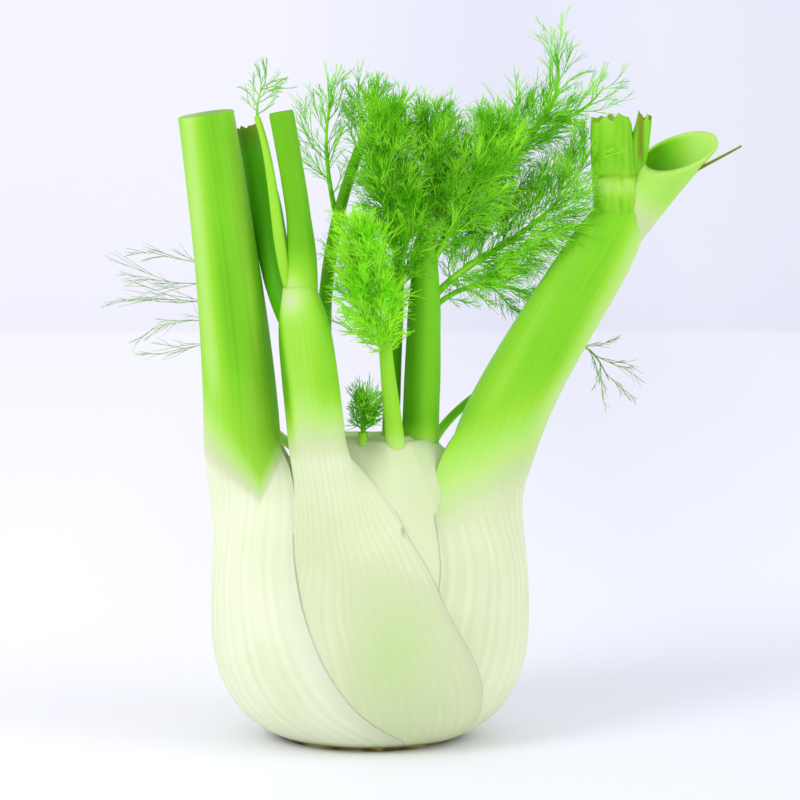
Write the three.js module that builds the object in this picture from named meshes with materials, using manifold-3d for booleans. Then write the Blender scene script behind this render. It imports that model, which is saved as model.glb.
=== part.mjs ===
// A fennel bulb as cut for the kitchen: a flat-cut root plate, four swollen leaf bases that wrap round
// a heart, their stalks, and the feathery fronds. Millimetres, +Z up, the origin at the centre of the
// root plate's cut face. -Y is the front, +X the right.
import * as THREE from "three";
import { mergeVertices } from "three/addons/utils/BufferGeometryUtils.js";
import Module from "manifold-3d";

const wasm = await Module();
wasm.setup();

// Driving dimensions
const BULB_HALF_WIDTH = 48;
const BULB_DEPTH_RATIO = 0.78;
const WIDEST_AT = 40;
const SHEATH_BASE = 1.5;
const THROAT = 91;
const PLATE_RADIUS = 25;
const PLATE_DEPTH_RATIO = 0.82;
const PLATE_FLARE = 1.12;
const PLATE_TOP = 5;

// The air between two nodes, and the room between two sheaths that allows for their flat facets
const GAP = 0.4;
const LAYER_ROOM = 1.4;

// How far from a sheath's margin the layers under it stay pushed in
const MARGIN_BLEND = 9;

// How the shoulder draws in above the bulb
const SHOULDER_FROM = 52;
const SHOULDER_HEIGHT = 42;
const SHOULDER_DEPTH = 24;

// The ribs along a leaf and the edge of a sheath. On the stalk the margins meet at the back.
const RIBS_ACROSS = 12;
const RINGS_BELOW_NECK = 2 / 3;
const NECK = 98;
const MARGINS_MEET_AT = 150;
const RIB_HEIGHT = 0.3;
const EDGE_THICKNESS = 1.1;

// The heart's dished top: how much of it lies inside the rim, and how deep the middle is
const HEART_SIDES = 22;
const HEART_RINGS = 10;
const HEART_RIM = 0.8;
const HEART_CROWN = 1.5;
const HEART_DISH = 3;

// Needles of the fronds: their spacing along a pinna, and how far they reach and spread
const NEEDLE_RADIUS = 0.46;
const NEEDLE_BELLY = 0.25;
const NEEDLE_SPACING = 6.6;
const NEEDLE_SPREAD = 0.66;
const SHORTEST_PINNA = 9;
const PINNA_RADIUS = 0.7;
const GOLDEN_ANGLE = 137.5;

const RAD = Math.PI / 180;

const vec = (x, y, z) => new THREE.Vector3(x, y, z);
const mix = (a, b, t) => a + (b - a) * t;
const smoothstep = THREE.MathUtils.smoothstep;

// The leaves, outermost first. from and to are the sheath's margins, as turns round the bulb (0 front,
// 90 right) against height. The stalk is a Bezier curve; across and deep are its half sizes against height.
const LEAVES = [
  {
    name: "left_leaf",
    color: "#9fd765",
    from: [[0, -205], [43, -168], [60, -158], [78, -142]],
    to: [[0, 30], [5, 12], [12, -3], [27, -15], [43, -23], [60, -28], [78, -34]],
    stalk: [vec(-40, -7, 45), vec(-34, -7, 85), vec(-41, -9, 140), vec(-47.9, -9, 188)],
    across: [[45, 11], [118, 10], [188, 8]],
    deep: [[45, 11.6], [94, 11.4], [118, 10.5], [145, 9.4], [188, 8.2]],
    thick: 5,
    rings: 15,
  },
  {
    name: "front_leaf",
    color: "#b5db74",
    from: [[0, -75], [45, -62], [60, -50], [78, -42]],
    to: [[0, 60], [27, 42], [44, 28], [55, 22.5], [62, 18], [70, 12], [78, 12]],
    stalk: [vec(-12, -22, 45), vec(-13, -23, 80), vec(-17.5, -20, 112), vec(-20.4, -18, 138)],
    across: [[45, 8.8], [110, 8.4], [124, 8], [132, 6.6], [138, 4.2]],
    deep: [[45, 7.4], [110, 7.2], [124, 6.8], [132, 6], [138, 4.2]],
    thick: 4.2,
    rings: 15,
  },
  {
    name: "right_leaf",
    color: "#a6da68",
    from: [[0, 0], [30, 18], [54, 26.5], [72, 27.5], [84, 29]],
    to: [[0, 205], [43, 172], [60, 160], [78, 146]],
    stalk: [vec(38, -4, 45), vec(21, -4, 85), vec(54, 0, 118), vec(79.5, 3, 165)],
    across: [[45, 11.5], [123, 10.8], [148, 9.6], [158, 8.2], [165, 5.5]],
    deep: [[45, 13], [95, 12.4], [108, 11.6], [146, 10.3], [157, 8.4], [165, 5.5]],
    thick: 4.6,
    rings: 15,
  },
  {
    name: "back_leaf",
    color: "#a9d873",
    from: [[0, 128], [50, 138], [78, 148]],
    to: [[0, 254], [50, 238], [78, 226]],
    stalk: [vec(-8, 25, 45), vec(-13, 26, 80), vec(-16, 25.5, 98), vec(-17, 25, 113)],
    across: [[45, 7], [113, 5]],
    deep: [[45, 5.8], [113, 4.8]],
    thick: 3.6,
    rings: 11,
  },
];

// The fork of the front leaf above its node: a shaded petiole to the left and the cut main stem.
const PETIOLE = {
  curve: [vec(-19, -17, 120), vec(-28, -9, 138), vec(-29, 1, 158), vec(-36, 4, 184)],
  radii: [3.5, 5, 4.7, 3.5],
};
const MAIN_STEM = {
  curve: [vec(-20.2, -18, 131), vec(-18.2, -17.5, 150), vec(-21.5, -17, 166), vec(-25.5, -16.5, 188.4)],
  radii: [5.1, 4.5, 3.6, 3.5, 3.7],
};

// The stubs of the right leaf: a ragged stub with a spur, and a sheath that is hollow and cut on the
// slant, so that it opens like a scoop, with a dry strand at its lip.
const STUB = {
  curve: [vec(75, 2.6, 156), vec(73.5, 2, 167), vec(72, 1, 176), vec(71.7, 1, 186)],
  radii: [8, 5.9],
};
const SPUR = {
  curve: [vec(76.5, 2, 166), vec(79, 1, 173), vec(80.5, 0, 180), vec(81.5, 0, 187)],
  radii: [4, 2.2],
};
const SCOOP = {
  curve: [vec(72, 2, 149), vec(80, 3, 160), vec(87, 3, 171.5), vec(101, 3, 187.5)],
  radii: [6.5, 8.9],
};
const SCOOP_POCKET = {
  curve: [vec(82.3, 3, 163.6), vec(86.6, 3, 169.6), vec(92, 3, 177.2), vec(102, 3, 188.7)],
  radii: [5.2, 7.5],
};
const SCOOP_CUT_AT = vec(95.5, 3, 177);
const SCOOP_CUT_FACING = vec(-0.1, -0.72, 1);
const STRAND = { root: vec(93, 1, 169), tip: vec(110.4, -1, 178.4), radius: 0.6 };

// The leafy stems that rise from the heart: a stalk, and its fronds. A frond's rachis bears pinnae that
// fan out from it; lean is the way the pinnae bend, flat how far they keep to one plane. A oneSided frond
// bears them on its left only.
const LEAFY_STEMS = [
  {
    name: "centre_leafy_stem",
    color: "#4fae12",
    stalk: [vec(15, 0, 86), vec(15.5, 0, 108), vec(16.5, 0, 128), vec(16.5, 0, 151)],
    radius: [5.6, 5.4, 5, 3.2],
    fronds: [
      {
        seed: 12,
        rachis: [vec(16.8, 0.2, 140), vec(18, -1, 156), vec(20, -2, 172), vec(19, -2, 184)],
        radius: 1.6,
        pinnae: 14,
        length: 16,
        fan: 38,
        lean: vec(0.05, 0, 0.25),
        flat: 0,
      },
      {
        seed: 18,
        rachis: [vec(17.5, 0, 142), vec(27, -3, 158), vec(35, -4, 170), vec(37, -5, 182)],
        radius: 1.4,
        pinnae: 11,
        length: 17,
        fan: 38,
        lean: vec(0.05, -0.05, 0.25),
        flat: 0,
      },
      {
        seed: 13,
        rachis: [vec(17, 0.6, 131), vec(32, 3, 150), vec(52, 5, 148), vec(65, 2, 176)],
        radius: 1.4,
        pinnae: 13,
        length: 21,
        fan: 46,
        lean: vec(0.05, 0, 0.2),
        flat: 0.35,
      },
      {
        seed: 14,
        rachis: [vec(17, 1, 139), vec(26, 8, 162), vec(36, 11, 176), vec(56, 10, 188)],
        radius: 1.4,
        pinnae: 12,
        length: 20,
        fan: 44,
        lean: vec(0, 0, 0.2),
        flat: 0.3,
      },
      {
        seed: 15,
        rachis: [vec(17, 1.5, 128), vec(30, 10, 142), vec(46, 16, 136), vec(58, 17, 128)],
        radius: 1.2,
        pinnae: 9,
        length: 15,
        fan: 48,
        lean: vec(0.15, 0, -0.05),
        flat: 0.4,
      },
      {
        seed: 16,
        rachis: [vec(50, 10.5, 184), vec(56, 11, 190), vec(58, 8, 198), vec(55, 5, 208)],
        radius: 1,
        pinnae: 7,
        length: 16,
        fan: 30,
        lean: vec(0, 0, 0.25),
        flat: 0.2,
      },
      {
        seed: 66,
        rachis: [vec(53, 10.6, 186), vec(61, 11, 186), vec(66, 9, 190), vec(70, 7, 196)],
        radius: 0.9,
        pinnae: 5,
        length: 14,
        fan: 32,
        lean: vec(0.05, 0, 0.25),
        flat: 0.3,
      },
    ],
  },
  {
    name: "shaded_leafy_stem",
    color: "#3f9a0c",
    stalk: [vec(6, 4, 86), vec(6.6, 4, 104), vec(7.5, 3, 122), vec(8.5, 2, 142)],
    radius: [2.8, 2],
    fronds: [
      {
        seed: 11,
        rachis: [vec(8.4, 2, 139), vec(7, -2, 155), vec(6, -6, 172), vec(6, -6, 183)],
        radius: 1.6,
        pinnae: 16,
        length: 19,
        fan: 36,
        lean: vec(0, -0.05, 0.25),
        flat: 0,
      },
      {
        seed: 19,
        rachis: [vec(7.2, 3, 126), vec(9, -2, 140), vec(11.5, -8, 150), vec(12, -10, 161)],
        radius: 1.3,
        pinnae: 9,
        length: 13,
        fan: 42,
        lean: vec(0, -0.1, 0.1),
        flat: 0,
      },
    ],
  },
  {
    name: "young_leafy_stem",
    color: "#7ddb1f",
    stalk: [vec(8, -12, 86), vec(7, -13, 100), vec(5, -14, 112), vec(4.5, -15, 124)],
    radius: [3, 1.8],
    fronds: [
      {
        seed: 21,
        rachis: [vec(5, -14.4, 111), vec(3.6, -16, 126), vec(-1, -17, 140), vec(-3, -16, 153)],
        radius: 1.4,
        pinnae: 16,
        length: 15,
        fan: 46,
        lean: vec(-0.2, -0.15, 0.2),
        flat: 0,
      },
    ],
  },
  {
    name: "rear_leafy_stem",
    color: "#62b82c",
    stalk: [vec(-9, 6, 86), vec(-18, 10, 118), vec(-14, 13, 150), vec(-3, 12, 178)],
    radius: [2.8, 2.2, 1.9, 1.6],
    fronds: [
      {
        seed: 31,
        rachis: [vec(-10.6, 12.4, 158), vec(-13, 13, 170), vec(-15, 12, 182), vec(-11, 11, 193)],
        radius: 1.1,
        pinnae: 7,
        length: 17,
        fan: 32,
        lean: vec(-0.05, 0.05, 0.2),
        flat: 0.3,
      },
      {
        seed: 32,
        rachis: [vec(-5, 12.3, 173), vec(-2.5, 12, 180), vec(0, 12, 186), vec(2, 10, 192)],
        radius: 1.2,
        pinnae: 7,
        length: 14,
        fan: 36,
        lean: vec(-0.1, 0.05, 0.2),
        flat: 0.3,
      },
    ],
  },
  {
    name: "left_spray",
    color: "#7fa83c",
    stalk: [vec(-19, 9, 84), vec(-28, 11, 90), vec(-40, 9, 100), vec(-45, 7.2, 114)],
    radius: [1.6, 1],
    fronds: [
      {
        seed: 42,
        rachis: [vec(-44.9, 7.2, 113), vec(-46.5, 7.4, 123), vec(-48, 7.2, 135), vec(-50.5, 6.4, 147)],
        radius: 0.9,
        pinnae: 5,
        length: 29,
        fan: 84,
        lean: vec(-0.3, 0, -0.12),
        flat: 0.8,
        oneSided: true,
      },
    ],
  },
  {
    name: "right_low_spray",
    color: "#7fa83c",
    stalk: [vec(18, 13, 86), vec(24, 17, 100), vec(46, 17, 112), vec(62, 11, 118)],
    radius: [1.5, 0.9],
    fronds: [
      {
        seed: 51,
        rachis: [vec(61, 11, 118), vec(66, 9, 119), vec(69, 7, 115), vec(72, 5, 108)],
        radius: 0.8,
        pinnae: 5,
        length: 14,
        fan: 42,
        lean: vec(0.15, 0, -0.3),
        flat: 0.7,
      },
    ],
  },
  {
    name: "tip_spray",
    color: "#9cde44",
    stalk: [vec(-24.9, -18.8, 142), vec(-27.4, -19.8, 155), vec(-26.6, -19, 170), vec(-32.6, -16, 187)],
    radius: [1.5, 0.9],
    fronds: [
      {
        seed: 61,
        rachis: [vec(-32.2, -16.2, 185), vec(-33, -15, 190), vec(-32, -14, 194), vec(-30, -13, 197)],
        radius: 0.8,
        pinnae: 5,
        length: 9,
        fan: 50,
        lean: vec(0.2, 0, 0.1),
        flat: 0.3,
      },
    ],
  },
  {
    name: "throat_frond",
    color: "#3f9412",
    stalk: [vec(-2, -9, 86), vec(-2, -9.5, 89), vec(-2, -10, 91), vec(-2, -10, 94)],
    radius: [1.8, 1.4],
    fronds: [
      {
        seed: 71,
        rachis: [vec(-2, -10, 92), vec(-2, -10, 96), vec(-1, -10.5, 99), vec(-1, -11, 102)],
        radius: 1.2,
        pinnae: 6,
        length: 9,
        fan: 42,
        lean: vec(0, -0.1, 0.1),
        flat: 0,
      },
    ],
  },
];

// Value at a height of a curve given as [height, value] pairs.
function along(pairs, z) {
  if (z <= pairs[0][0]) return pairs[0][1];
  for (let i = 1; i < pairs.length; i++) {
    const [z0, v0] = pairs[i - 1];
    const [z1, v1] = pairs[i];
    if (z <= z1) return mix(v0, v1, (z - z0) / (z1 - z0));
  }
  return pairs[pairs.length - 1][1];
}

// The bulb's outline: half its width at a height.
function halfWidth(z) {
  const below = Math.max(0, WIDEST_AT - z) / (WIDEST_AT + 2);
  const above = smoothstep(z, WIDEST_AT, WIDEST_AT + 50);
  return BULB_HALF_WIDTH * Math.cbrt(1 - below ** 2.6) - 3.6 * above;
}

// How far the sheaths' wings and the heart draw in at the shoulder.
const shoulder = (z) => SHOULDER_DEPTH * Math.max(0, (z - SHOULDER_FROM) / SHOULDER_HEIGHT) ** 2.1;

// A point on the bulb at a turn and a height, some way in from its outline.
function onBulb(psi, z, inward) {
  const rx = halfWidth(z);
  const ry = rx * BULB_DEPTH_RATIO;
  return vec((rx - inward) * Math.sin(psi * RAD), -(ry - inward) * Math.cos(psi * RAD), z);
}

const bezier = (points, t) => new THREE.CubicBezierCurve3(...points).getPoint(t);
const bezierTangent = (points, t) => new THREE.CubicBezierCurve3(...points).getTangent(t);

// Where a rising curve passes a height.
function paramAtHeight(points, z) {
  let low = 0;
  let high = 1;
  for (let i = 0; i < 30; i++) {
    const middle = (low + high) / 2;
    if (bezier(points, middle).z < z) low = middle;
    else high = middle;
  }
  return (low + high) / 2;
}

// The closed surface of a geometry as a solid, with each vertex moved by place.
function solidOf(geometry, place) {
  const moved = geometry.clone();
  const position = moved.getAttribute("position");
  for (let i = 0; i < position.count; i++) {
    const to = place(position.getX(i), position.getY(i), position.getZ(i));
    position.setXYZ(i, to.x, to.y, to.z);
  }
  moved.deleteAttribute("normal");
  moved.deleteAttribute("uv");
  const merged = mergeVertices(moved, 1e-4);
  return new wasm.Manifold(
    new wasm.Mesh({
      numProp: 3,
      vertProperties: new Float32Array(merged.attributes.position.array),
      triVerts: new Uint32Array(merged.index.array),
    }),
  );
}

const sheathThickness = (leaf, w) => leaf.thick * (1 - Math.abs(w) ** 3) + EDGE_THICKNESS;

// How far in the leaves on the outside of a stack push the surface under them.
function buriedBy(outer, psi, z) {
  let depth = 0;
  for (const leaf of outer) {
    const from = along(leaf.from, z);
    const to = along(leaf.to, z);
    const half = (to - from) / 2;
    const turn = THREE.MathUtils.euclideanModulo(psi - from - half + 180, 360) - 180;
    const w = Math.abs(turn / half);
    const beyond = Math.max(0, w - 1) * half * RAD * halfWidth(z);
    const cover = sheathThickness(leaf, Math.min(1, w)) + LAYER_ROOM;
    depth += cover * Math.exp(-((beyond / MARGIN_BLEND) ** 2));
  }
  return depth;
}

// The height of a leaf's ring: most rings lie below the neck, closest together at the base.
function ringHeight(y, foot, top) {
  if (y < RINGS_BELOW_NECK) return mix(foot, NECK, (y / RINGS_BELOW_NECK) ** 1.25);
  return mix(NECK, top, (y - RINGS_BELOW_NECK) / (1 - RINGS_BELOW_NECK));
}

// A leaf. Its sheath lies on the bulb, thick in the middle and thin at the margins, and draws together
// into the stalk above. grow thickens it all round, as the room its neighbours leave for it.
function leafSolid(index, grow) {
  const leaf = LEAVES[index];
  const outer = LEAVES.slice(0, index);
  const top = leaf.stalk[3].z;
  const middle = ((along(leaf.from, top) + along(leaf.to, top)) / 2) * RAD;
  const box = new THREE.BoxGeometry(2, 1, 2, RIBS_ACROSS, leaf.rings, 1);
  return solidOf(box, (w, y, side) => {
    const z = ringHeight(y + 0.5, SHEATH_BASE - grow, top + grow);
    const wing = Math.abs(w);
    const rib = Math.round(((w + 1) * RIBS_ACROSS) / 2) % 2 ? RIB_HEIGHT : 0;
    const spread = (w * grow) / (halfWidth(z) * RAD);
    const psi = mix(along(leaf.from, z), along(leaf.to, z), (w + 1) / 2) + spread;
    const surface = buriedBy(outer, psi, z) + shoulder(z) * wing ** 1.6 - rib;
    const inward = side > 0 ? surface - grow : surface + sheathThickness(leaf, w) + grow;
    const sheath = onBulb(psi, z, inward);
    const drawn = smoothstep(z, 50 + 20 * wing ** 2, THROAT - 1 + 5 * wing);
    if (drawn === 0) return sheath;

    const t = paramAtHeight(leaf.stalk, z);
    const tangent = bezierTangent(leaf.stalk, t);
    const outward = vec(Math.sin(middle), -Math.cos(middle), 0);
    outward.addScaledVector(tangent, -outward.dot(tangent)).normalize();
    const across = new THREE.Vector3().crossVectors(tangent, outward);
    const turn = (side > 0 ? w * MARGINS_MEET_AT : 180 - w * (180 - MARGINS_MEET_AT)) * RAD;
    const reach = along(leaf.across, z) + grow + rib;
    const depth = along(leaf.deep, z) + grow + rib;
    const stalk = bezier(leaf.stalk, t)
      .addScaledVector(across, reach * Math.sin(turn))
      .addScaledVector(outward, depth * Math.cos(turn));
    return sheath.lerp(stalk, drawn);
  });
}

// The value at a share of the way through evenly spaced values.
function through(values, t) {
  const place = t * (values.length - 1);
  const low = Math.min(values.length - 2, Math.floor(place));
  return mix(values[low], values[low + 1], place - low);
}

// A round stem along a curve, with evenly spaced radii from end to end.
function stem(points, radii, sides, rings, grow = 0) {
  const tube = new THREE.CylinderGeometry(1, 1, 1, sides, rings);
  const frames = [];
  let across = null;
  for (let i = 0; i <= rings; i++) {
    const tangent = bezierTangent(points, i / rings);
    const seed = across ?? vec(0.3, 1, 0.2);
    across = seed.clone().addScaledVector(tangent, -seed.dot(tangent)).normalize();
    const other = new THREE.Vector3().crossVectors(tangent, across);
    const end = i === 0 ? -grow : i === rings ? grow : 0;
    frames.push({ centre: bezier(points, i / rings).addScaledVector(tangent, end), across, other });
  }
  return solidOf(tube, (x, y, z) => {
    const frame = frames[Math.round((y + 0.5) * rings)];
    const radius = through(radii, y + 0.5) + grow;
    return frame.centre
      .clone()
      .addScaledVector(frame.across, z * radius)
      .addScaledVector(frame.other, x * radius);
  });
}

// The half of space on the side of a plane that its normal points to.
function halfSpace(point, normal) {
  const block = new THREE.BoxGeometry(80, 80, 80);
  const turn = new THREE.Quaternion().setFromUnitVectors(vec(0, 0, 1), normal.clone().normalize());
  return solidOf(block, (x, y, z) => vec(x, y, z + 40).applyQuaternion(turn).add(point));
}

// Draws between 0 and 1, the same for the same seed.
function dice(seed) {
  let state = seed >>> 0;
  return () => {
    state = (Math.imul(state, 1664525) + 1013904223) >>> 0;
    return state / 4294967296;
  };
}

// The heart: the packed inner leaf bases, with a dished top that the young stems come out of.
function heartSolid() {
  const drum = new THREE.CylinderGeometry(1, 1, 1, HEART_SIDES, HEART_RINGS);
  return solidOf(drum, (x, y, z) => {
    const v = y + 0.5;
    const hub = Math.hypot(x, z) < 0.5;
    const psi = Math.atan2(x, z) / RAD;
    const height = mix(PLATE_TOP + GAP, THROAT, Math.min(1, v / HEART_RIM));
    if (hub && v < 0.5) return vec(0, 0, height);
    const edge = onBulb(psi, height, buriedBy(LEAVES, psi, height) + shoulder(height));
    const over = Math.max(0, (v - HEART_RIM) / (1 - HEART_RIM));
    const share = hub ? 0 : 1 - 0.6 * over;
    const dish = hub ? HEART_DISH : (HEART_DISH * over) / 2;
    return vec(edge.x * share, edge.y * share, height + HEART_CROWN * Math.sin(2 * over) - dish);
  });
}

// The root plate: a low, flaring disc, a little wavy round its rim.
function plateSolid() {
  const disc = new THREE.CylinderGeometry(1, 1, 1, 28, 1);
  return solidOf(disc, (x, y, z) => {
    const psi = Math.atan2(x, z);
    const wave = 1 + 0.018 * Math.sin(5 * psi) + 0.012 * Math.sin(11 * psi + 1);
    const reach = PLATE_RADIUS * wave * (y > 0 ? PLATE_FLARE : 1);
    return vec(x * reach, -z * reach * PLATE_DEPTH_RATIO, (y + 0.5) * PLATE_TOP);
  });
}

// The pinnae of a frond, each from the rachis outwards, drawn in order from the frond's own seed.
function pinnaeOf(frond) {
  const draw = dice(frond.seed);
  const made = [];
  for (let i = 0; i < frond.pinnae; i++) {
    const share = (i + 0.5) / frond.pinnae;
    const t = mix(0.12, 0.98, share);
    const tangent = bezierTangent(frond.rachis, t);
    const spin = i * GOLDEN_ANGLE + 30 * (draw() - 0.5);
    const inPlane = (frond.oneSided ? 180 : (i % 2) * 180) + 60 * (draw() - 0.5);
    const turn = frond.flat > 0.5 ? inPlane : mix(spin, inPlane, frond.flat);
    const side = vec(1, 0, 0).addScaledVector(tangent, -tangent.x).normalize();
    side.applyAxisAngle(tangent, turn * RAD);
    const fan = frond.fan * (1.15 - 0.5 * share) * RAD;
    const way = tangent.multiplyScalar(Math.cos(fan)).addScaledVector(side, Math.sin(fan));
    const taper = Math.sin(Math.PI * (0.28 + 0.5 * share));
    const length = frond.length * taper * (0.8 + 0.3 * draw());
    const from = bezier(frond.rachis, t);
    const to = from.clone().addScaledVector(way, length * 0.72).addScaledVector(frond.lean, length * 0.5);
    made.push({ from, to, length, draw });
  }
  return made;
}

// A three-sided needle: it swells from its root, which is sunk in its bearer, and ends in a point.
function needle(from, to, radius) {
  const axis = to.clone().sub(from);
  const length = axis.length();
  const cone = new THREE.ConeGeometry(radius, 1, 3, 1);
  const turn = new THREE.Quaternion().setFromUnitVectors(vec(0, 1, 0), axis.normalize());
  return solidOf(cone, (x, y, z) => {
    const rim = Math.hypot(x, z) > radius / 2;
    const height = y > 0 ? length : rim ? NEEDLE_BELLY * length : 0;
    return vec(x, height, z).applyQuaternion(turn).add(from);
  });
}

// Segments already placed, by node, so that needles of different nodes keep clear of each other.
const taken = [];

function distanceBetween(a, b) {
  let nearest = Infinity;
  const line = new THREE.Line3(b.from, b.to);
  const close = new THREE.Vector3();
  for (let i = 0; i <= 6; i++) {
    const point = a.from.clone().lerp(a.to, i / 6);
    line.closestPointToPoint(point, true, close);
    nearest = Math.min(nearest, point.distanceTo(close));
  }
  return nearest;
}

function isClear(node, owner, from, to, radius) {
  const mine = { from, to };
  return !taken.some((other) => {
    if (other.node === node && (other.owner === owner || other.owner === undefined)) return false;
    const room = other.node === node ? 0 : 2 * GAP;
    return distanceBetween(mine, other) < radius + other.radius + room;
  });
}

function take(node, points, radii) {
  const steps = 10;
  for (let i = 0; i < steps; i++) {
    const from = bezier(points, i / steps);
    const to = bezier(points, (i + 1) / steps);
    taken.push({ node, from, to, radius: Math.max(...radii) });
  }
}

// The needles of a pinna, in a spiral round it, with the last one as its tip.
function needleSolids(node, owner, from, to, length, draw) {
  const needles = [];
  const ahead = to.clone().sub(from).normalize();
  const count = Math.max(2, Math.round(length / NEEDLE_SPACING));
  for (let k = 0; k < count; k++) {
    const share = (k + 1) / count;
    const root = from.clone().lerp(to, share * 0.96);
    const side = vec(1, 0, 0).addScaledVector(ahead, -ahead.x).normalize();
    side.applyAxisAngle(ahead, (k * GOLDEN_ANGLE + 60 * draw()) * RAD);
    const reach = mix(0.55, 0.4, share) * Math.max(SHORTEST_PINNA, length) * (0.8 + 0.4 * draw());
    const spread = k === count - 1 ? 0.15 : NEEDLE_SPREAD;
    const tip = root.clone().addScaledVector(ahead, reach * 0.75).addScaledVector(side, reach * spread);
    if (!isClear(node, owner, root, tip, NEEDLE_RADIUS)) continue;
    needles.push(needle(root, tip, NEEDLE_RADIUS));
    taken.push({ node, owner, from: root, to: tip, radius: NEEDLE_RADIUS });
  }
  return needles;
}

// The rachis of a frond, and those of its pinnae that have room, with their needles.
function frondSolids(node, frond) {
  const parts = [stem(frond.rachis, [frond.radius, frond.radius * 0.5], 4, 5)];
  for (const { from, to, length, draw } of pinnaeOf(frond)) {
    const owner = `${frond.seed}.${parts.length}`;
    const away = from.clone().lerp(to, 0.2);
    if (!isClear(node, owner, away, to, PINNA_RADIUS)) continue;
    const line = [from, from.clone().lerp(to, 1 / 3), from.clone().lerp(to, 2 / 3), to];
    parts.push(stem(line, [PINNA_RADIUS, PINNA_RADIUS * 0.6], 3, 1));
    taken.push({ node, owner, from: away, to, radius: PINNA_RADIUS });
    parts.push(...needleSolids(node, owner, from, to, length, draw));
  }
  return parts;
}

// Everything joined; of several bodies the largest is kept.
function join(parts) {
  const whole = parts.reduce((sum, part) => sum.add(part));
  return largest(whole);
}

function largest(solid) {
  const bodies = solid.decompose();
  return bodies.reduce((best, body) => (body.volume() > best.volume() ? body : best));
}

// A leaf with what branches off it above its node.
function leafWithBranches(index, grow) {
  const leaf = leafSolid(index, grow);
  if (LEAVES[index].name === "front_leaf") {
    return join([
      leaf,
      stem(PETIOLE.curve, PETIOLE.radii, 8, 6, grow),
      stem(MAIN_STEM.curve, MAIN_STEM.radii, 9, 8, grow),
    ]);
  }
  if (LEAVES[index].name === "right_leaf") {
    const sheath = stem(SCOOP.curve, SCOOP.radii, 12, 4, grow);
    const pocket = stem(SCOOP_POCKET.curve, SCOOP_POCKET.radii, 12, 2);
    const slant = halfSpace(SCOOP_CUT_AT, SCOOP_CUT_FACING);
    return join([
      leaf,
      sheath.subtract(slant).subtract(pocket),
      stem(STUB.curve, STUB.radii, 9, 4, grow),
      stem(SPUR.curve, SPUR.radii, 6, 2, grow),
      needle(STRAND.root, STRAND.tip, STRAND.radius + grow),
    ]);
  }
  return leaf;
}

const group = new THREE.Group();
group.name = "fennel_bulb";

function addMesh(name, solid, color) {
  const { vertProperties, triVerts } = solid.getMesh();
  const geometry = new THREE.BufferGeometry();
  geometry.setAttribute("position", new THREE.Float32BufferAttribute(vertProperties, 3));
  geometry.setIndex(Array.from(triVerts));
  const mesh = new THREE.Mesh(geometry, new THREE.MeshStandardMaterial({ color, roughness: 0.5 }));
  mesh.name = name;
  group.add(mesh);
}

// Each body is cut clear of the ones outside it.
const roomTaken = [];
function cutClear(solid) {
  return largest(roomTaken.reduce((rest, room) => rest.subtract(room), solid));
}

addMesh("root_plate", plateSolid(), "#8f8a4a");
roomTaken.push(plateSolid().add(plateSolid().translate([0, 0, GAP])));
for (let i = 0; i < LEAVES.length; i++) {
  addMesh(LEAVES[i].name, cutClear(leafWithBranches(i, 0)), LEAVES[i].color);
  roomTaken.push(leafWithBranches(i, GAP));
  take(LEAVES[i].name, LEAVES[i].stalk, [LEAVES[i].deep[0][1]]);
}
take("front_leaf", PETIOLE.curve, PETIOLE.radii);
take("front_leaf", MAIN_STEM.curve, MAIN_STEM.radii.slice(1));
take("right_leaf", STUB.curve, STUB.radii);
take("right_leaf", SCOOP.curve, SCOOP.radii);

for (const leafy of LEAFY_STEMS) {
  take(leafy.name, leafy.stalk, leafy.radius);
}
for (const leafy of LEAFY_STEMS) {
  const thick = leafy.radius[0] > 3;
  const sides = thick ? 10 : 6;
  const rings = leafy.radius[0] > 1.6 ? 4 : 6;
  const stalk = stem(leafy.stalk, leafy.radius, sides, rings);
  const fronds = leafy.fronds.flatMap((frond) => frondSolids(leafy.name, frond));
  addMesh(leafy.name, cutClear(join([stalk, ...fronds])), leafy.color);
  roomTaken.push(stem(leafy.stalk, leafy.radius, sides, rings, GAP));
}
addMesh("heart", cutClear(heartSolid()), "#d5e3bf");

export default group;
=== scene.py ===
"""The finished look of a fennel bulb: leaves, heart, root plate, stalks, fronds and a small studio."""

import math
from functools import partial

import bmesh
import bpy
from mathutils import Matrix, Quaternion, Vector
from mathutils.noise import noise


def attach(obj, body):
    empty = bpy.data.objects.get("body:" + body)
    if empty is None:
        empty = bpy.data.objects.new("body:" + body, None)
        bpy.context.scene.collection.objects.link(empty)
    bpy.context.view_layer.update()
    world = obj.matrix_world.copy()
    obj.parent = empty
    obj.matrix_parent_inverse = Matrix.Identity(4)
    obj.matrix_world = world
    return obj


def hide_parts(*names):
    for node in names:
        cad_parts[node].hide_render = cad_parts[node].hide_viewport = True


bl_info = {
    "name": "Fennel bulb",
    "version": (1, 0, 0),
    "blender": (4, 5, 0),
    "location": "3D View > Sidebar > Fennel",
    "description": "Builds a fennel bulb with its stalks and fronds over its packed frame",
    "category": "Add Mesh",
}

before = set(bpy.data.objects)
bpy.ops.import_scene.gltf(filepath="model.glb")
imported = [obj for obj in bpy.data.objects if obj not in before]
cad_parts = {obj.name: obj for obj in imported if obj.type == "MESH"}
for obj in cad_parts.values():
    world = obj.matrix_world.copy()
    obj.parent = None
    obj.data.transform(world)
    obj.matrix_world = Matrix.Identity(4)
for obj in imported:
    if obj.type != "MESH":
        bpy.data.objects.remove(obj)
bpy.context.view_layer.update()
MM = 0.001
GOLDEN_ANGLE = 137.5

# The bulb's outline in millimetres
BULB_HALF_WIDTH = 48
BULB_DEPTH_RATIO = 0.78
WIDEST_AT = 40
SHEATH_BASE = 1.2
THROAT = 91
NECK = 98
PLATE_RADIUS = 25
PLATE_DEPTH_RATIO = 0.82
PLATE_TOP = 5

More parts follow.
